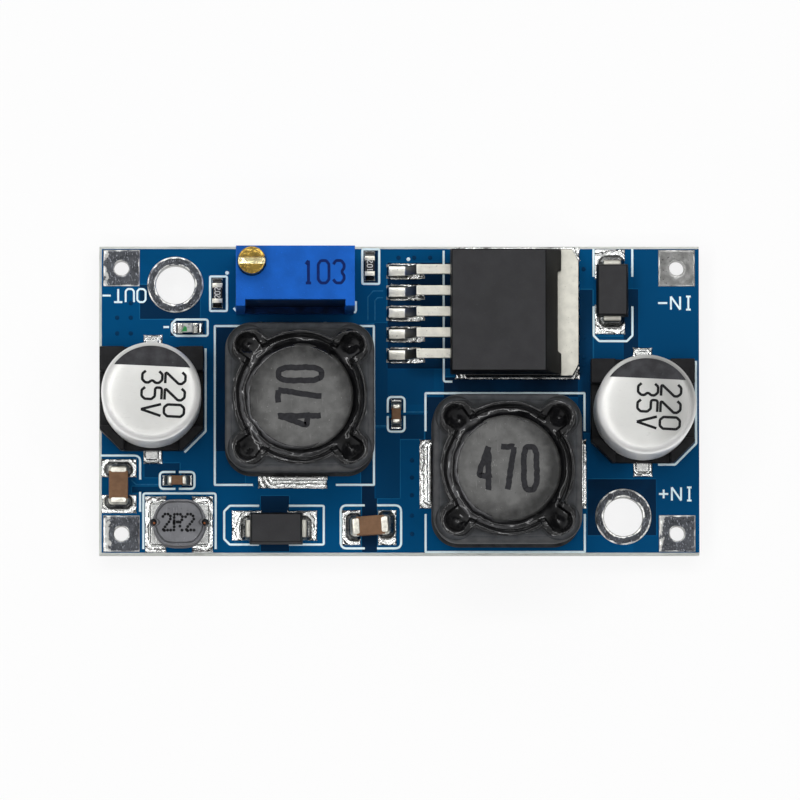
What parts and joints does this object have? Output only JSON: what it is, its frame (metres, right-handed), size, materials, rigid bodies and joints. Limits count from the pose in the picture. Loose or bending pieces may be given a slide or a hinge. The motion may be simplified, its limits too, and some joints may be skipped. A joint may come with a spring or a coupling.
{
  "type": "buck-boost converter module",
  "caption": "Blue circuit board with shielded inductors, can capacitors, a five-lead regulator, diodes and a multi-turn trimmer; steps a DC voltage up or down.",
  "frame": {"origin": "middle of the board's underside, halfway between the two mounting holes", "axes": "+X along the board's length towards the right capacitor, +Y across it towards the trimmer, +Z out of the face that carries the parts"},
  "size_m": [0.0486, 0.025, 0.0141],
  "materials": {
    "solder_mask": "blue solder mask over glass laminate, pale bare laminate on the scored edges",
    "tinned_pad": "hot-tinned copper, slightly uneven",
    "tinned_land": "hot-tinned copper, slightly uneven",
    "tinned_lead": "matt tin plating",
    "tinned_end": "tinned end metal with solder drawn up it",
    "solder": "bright reflowed solder",
    "legend_ink": "white screen-printed ink",
    "blue_plastic": "blue moulded plastic, fine grain",
    "blue_resin": "blue potting resin",
    "brass": "turned brass, lightly brushed",
    "pale_plastic": "moulded nylon",
    "alumina": "fired alumina",
    "black_moulding": "moulded epoxy, fine matt grain",
    "shield_ferrite": "dark grey pressed ferrite",
    "core_ferrite": "grey ground ferrite",
    "drum_ferrite": "grey pressed ferrite",
    "copper_wire": "enamelled copper wire",
    "black_glue": "cured black epoxy, glossy and uneven",
    "can_aluminium": "satin drawn aluminium with a black printed segment",
    "black_plastic": "moulded black plastic",
    "brown_ceramic": "fired brown ceramic",
    "black_glass": "black glass coat",
    "pale_laminate": "pale laminate",
    "clear_resin": "clear epoxy",
    "gilt_metal": "gold-plated ends"
  },
  "bodies": {
    "module": {"board": "solder_mask", "wire_pads": "tinned_pad", "mounting_rings": "tinned_pad", "trimmer_pads": "tinned_pad", "component_lands": "tinned_land", "legend": "legend_ink", "solder_fillets": "solder", "trimmer_housing": "blue_plastic", "trimmer_element": "alumina", "trimmer_potting": "blue_resin", "trimmer_pins": "tinned_lead", "trimmer_pin_solder": "solder", "regulator_body": "black_moulding", "regulator_tab": "tinned_lead", "regulator_leads": "tinned_lead", "left_inductor_shield": "shield_ferrite", "left_inductor_core": "core_ferrite", "left_inductor_winding": "copper_wire", "left_inductor_glue": "black_glue", "left_inductor_terminals": "tinned_lead", "right_inductor_shield": "shield_ferrite", "right_inductor_core": "core_ferrite", "right_inductor_winding": "copper_wire", "right_inductor_glue": "black_glue", "right_inductor_terminals": "tinned_lead", "left_capacitor_can": "can_aluminium", "left_capacitor_base": "black_plastic", "left_capacitor_leads": "tinned_lead", "right_capacitor_can": "can_aluminium", "right_capacitor_base": "black_plastic", "right_capacitor_leads": "tinned_lead", "rear_diode_body": "black_moulding", "rear_diode_leads": "tinned_lead", "front_diode_body": "black_moulding", "front_diode_leads": "tinned_lead", "left_chip_capacitor_body": "brown_ceramic", "left_chip_capacitor_ends": "tinned_end", "front_chip_capacitor_body": "brown_ceramic", "front_chip_capacitor_ends": "tinned_end", "left_bypass_capacitor_body": "brown_ceramic", "left_bypass_capacitor_ends": "tinned_end", "centre_bypass_capacitor_body": "brown_ceramic", "centre_bypass_capacitor_ends": "tinned_end", "left_resistor_body": "alumina", "left_resistor_coat": "black_glass", "left_resistor_ends": "tinned_end", "centre_resistor_body": "alumina", "centre_resistor_coat": "black_glass", "centre_resistor_ends": "tinned_end", "indicator_base": "pale_laminate", "indicator_lens": "clear_resin", "indicator_ends": "gilt_metal", "filter_coil_core": "drum_ferrite", "filter_coil_winding": "copper_wire", "filter_coil_terminals": "tinned_lead"},
    "screw": {"trimmer_screw": "brass"},
    "wiper": {"trimmer_wiper": "pale_plastic"}
  },
  "joints": [
    {"name": "screw_turn", "type": "hinge", "parent": "module", "child": "screw", "pos_m": [-0.01195, 0.01055, 0.01168], "axis": [0, 0, 1], "range_deg": [-4500, 4500]},
    {"name": "wiper_slide", "type": "slide", "parent": "module", "child": "wiper", "axis": [0, 0, 1], "range_m": [-0.003, 0.003]}
  ],
  "couplings": [
    {"joint": "screw_turn", "follows": "wiper_slide", "rad_per_m": -26180}
  ]
}
